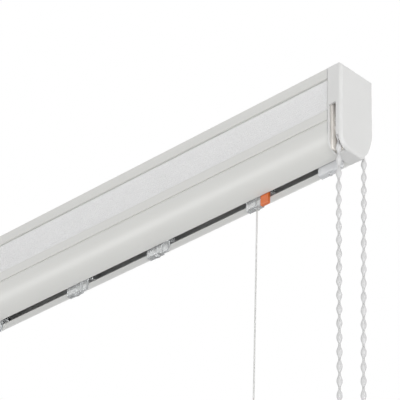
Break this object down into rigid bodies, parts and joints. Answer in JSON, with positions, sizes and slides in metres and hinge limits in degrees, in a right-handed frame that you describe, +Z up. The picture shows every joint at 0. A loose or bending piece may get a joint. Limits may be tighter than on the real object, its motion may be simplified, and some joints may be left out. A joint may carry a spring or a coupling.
{
  "type": "roman blind headrail",
  "caption": "White roman blind headrail with a hook tape panel, end caps, bead chain drive, square shaft and clear cord cassettes sliding in a bottom slot, one with its lift cord let out.",
  "frame": {"origin": "middle of the bracket channel's mouth, level with the top of the rail, halfway along the extrusion and halfway through its depth", "axes": "+X along the rail towards the chain drive, +Y from the front with the tape towards the wall, +Z up"},
  "size_m": [0.362, 0.0264, 0.2135],
  "materials": {
    "rail_coating": "white satin powder coat on extruded aluminium",
    "tape": "white hook tape, fine matt pile",
    "cap_plastic": "white moulded plastic, soft sheen",
    "housing_plastic": "ivory moulded plastic",
    "wheel_plastic": "off-white acetal, smooth",
    "spring_steel": "bright drawn spring wire",
    "shaft_metal": "mill finish drawn square bar",
    "clear_plastic": "clear polycarbonate, moulded",
    "orange_plastic": "translucent orange polycarbonate",
    "spool_plastic": "grey acetal",
    "cord": "white braided polyester cord",
    "chain_string": "white polyester core string",
    "chain_bead": "white moulded beads, satin"
  },
  "bodies": {
    "rail": {"headrail": "rail_coating", "loop_tape": "tape", "drive_cap": "cap_plastic", "drive_housing": "housing_plastic", "clutch_core": "housing_plastic", "clutch_springs": "spring_steel", "idle_cap": "cap_plastic", "chain_wrap": "chain_string", "chain_wrap_beads": "chain_bead", "chain_loop": "chain_string", "chain_beads": "chain_bead"},
    "drive": {"chain_wheel": "wheel_plastic", "shaft_adapter": "wheel_plastic", "drive_shaft": "shaft_metal", "shaft_bush": "wheel_plastic"},
    "carriage_1": {"cassette_1": "clear_plastic"},
    "reel_1": {"spool_1": "spool_plastic"},
    "lock_1": {"lock_clip_1": "clear_plastic"},
    "carriage_2": {"cassette_2": "clear_plastic", "lift_cord_inner": "cord"},
    "reel_2": {"spool_2": "spool_plastic", "cord_winding": "cord"},
    "lock_2": {"lock_clip_2": "orange_plastic"},
    "carriage_3": {"cassette_3": "clear_plastic"},
    "reel_3": {"spool_3": "spool_plastic"},
    "lock_3": {"lock_clip_3": "clear_plastic"},
    "carriage_4": {"cassette_4": "clear_plastic"},
    "reel_4": {"spool_4": "spool_plastic"},
    "lock_4": {"lock_clip_4": "clear_plastic"},
    "carriage_5": {"cassette_5": "clear_plastic"},
    "reel_5": {"spool_5": "spool_plastic"},
    "lock_5": {"lock_clip_5": "clear_plastic"},
    "cord_end": {"lift_cord": "cord", "cord_knot": "cord"}
  },
  "joints": [
    {"name": "drive_turn", "type": "hinge", "parent": "rail", "child": "drive", "pos_m": [0.1803, 0, -0.0358], "axis": [1, 0, 0], "range_deg": [0, 1020]},
    {"name": "cassette_1_slide", "type": "slide", "parent": "rail", "child": "carriage_1", "axis": [1, 0, 0], "range_m": [-0.015, 0]},
    {"name": "spool_1_turn", "type": "hinge", "parent": "carriage_1", "child": "reel_1", "pos_m": [0.1667, 0, -0.0358], "axis": [1, 0, 0], "range_deg": [0, 1020]},
    {"name": "lock_1_pull", "type": "slide", "parent": "carriage_1", "child": "lock_1", "axis": [0, 0, 1], "range_m": [-0.003, 0]},
    {"name": "cassette_2_slide", "type": "slide", "parent": "rail", "child": "carriage_2", "axis": [1, 0, 0], "range_m": [-0.015, 0.015]},
    {"name": "spool_2_turn", "type": "hinge", "parent": "carriage_2", "child": "reel_2", "pos_m": [0.1148, 0, -0.0358], "axis": [1, 0, 0], "range_deg": [0, 1020]},
    {"name": "lock_2_pull", "type": "slide", "parent": "carriage_2", "child": "lock_2", "axis": [0, 0, 1], "range_m": [-0.003, 0]},
    {"name": "cassette_3_slide", "type": "slide", "parent": "rail", "child": "carriage_3", "axis": [1, 0, 0], "range_m": [-0.015, 0.015]},
    {"name": "spool_3_turn", "type": "hinge", "parent": "carriage_3", "child": "reel_3", "pos_m": [0.0392, 0, -0.0358], "axis": [1, 0, 0], "range_deg": [0, 1020]},
    {"name": "lock_3_pull", "type": "slide", "parent": "carriage_3", "child": "lock_3", "axis": [0, 0, 1], "range_m": [-0.003, 0]},
    {"name": "cassette_4_slide", "type": "slide", "parent": "rail", "child": "carriage_4", "axis": [1, 0, 0], "range_m": [-0.015, 0.015]},
    {"name": "spool_4_turn", "type": "hinge", "parent": "carriage_4", "child": "reel_4", "pos_m": [-0.0261, 0, -0.0358], "axis": [1, 0, 0], "range_deg": [0, 1020]},
    {"name": "lock_4_pull", "type": "slide", "parent": "carriage_4", "child": "lock_4", "axis": [0, 0, 1], "range_m": [-0.003, 0]},
    {"name": "cassette_5_slide", "type": "slide", "parent": "rail", "child": "carriage_5", "axis": [1, 0, 0], "range_m": [-0.015, 0.015]},
    {"name": "spool_5_turn", "type": "hinge", "parent": "carriage_5", "child": "reel_5", "pos_m": [-0.0996, 0, -0.0358], "axis": [1, 0, 0], "range_deg": [0, 1020]},
    {"name": "lock_5_pull", "type": "slide", "parent": "carriage_5", "child": "lock_5", "axis": [0, 0, 1], "range_m": [-0.003, 0]},
    {"name": "lift_cord_raise", "type": "slide", "parent": "carriage_2", "child": "cord_end", "axis": [0, 0, 1], "range_m": [0, 0.114], "deforming": ["lift_cord"]}
  ],
  "couplings": [
    {"joint": "spool_1_turn", "follows": "drive_turn", "ratio": 1},
    {"joint": "spool_2_turn", "follows": "drive_turn", "ratio": 1},
    {"joint": "spool_3_turn", "follows": "drive_turn", "ratio": 1},
    {"joint": "spool_4_turn", "follows": "drive_turn", "ratio": 1},
    {"joint": "spool_5_turn", "follows": "drive_turn", "ratio": 1},
    {"joint": "lift_cord_raise", "follows": "drive_turn", "m_per_rad": 0.0064}
  ]
}
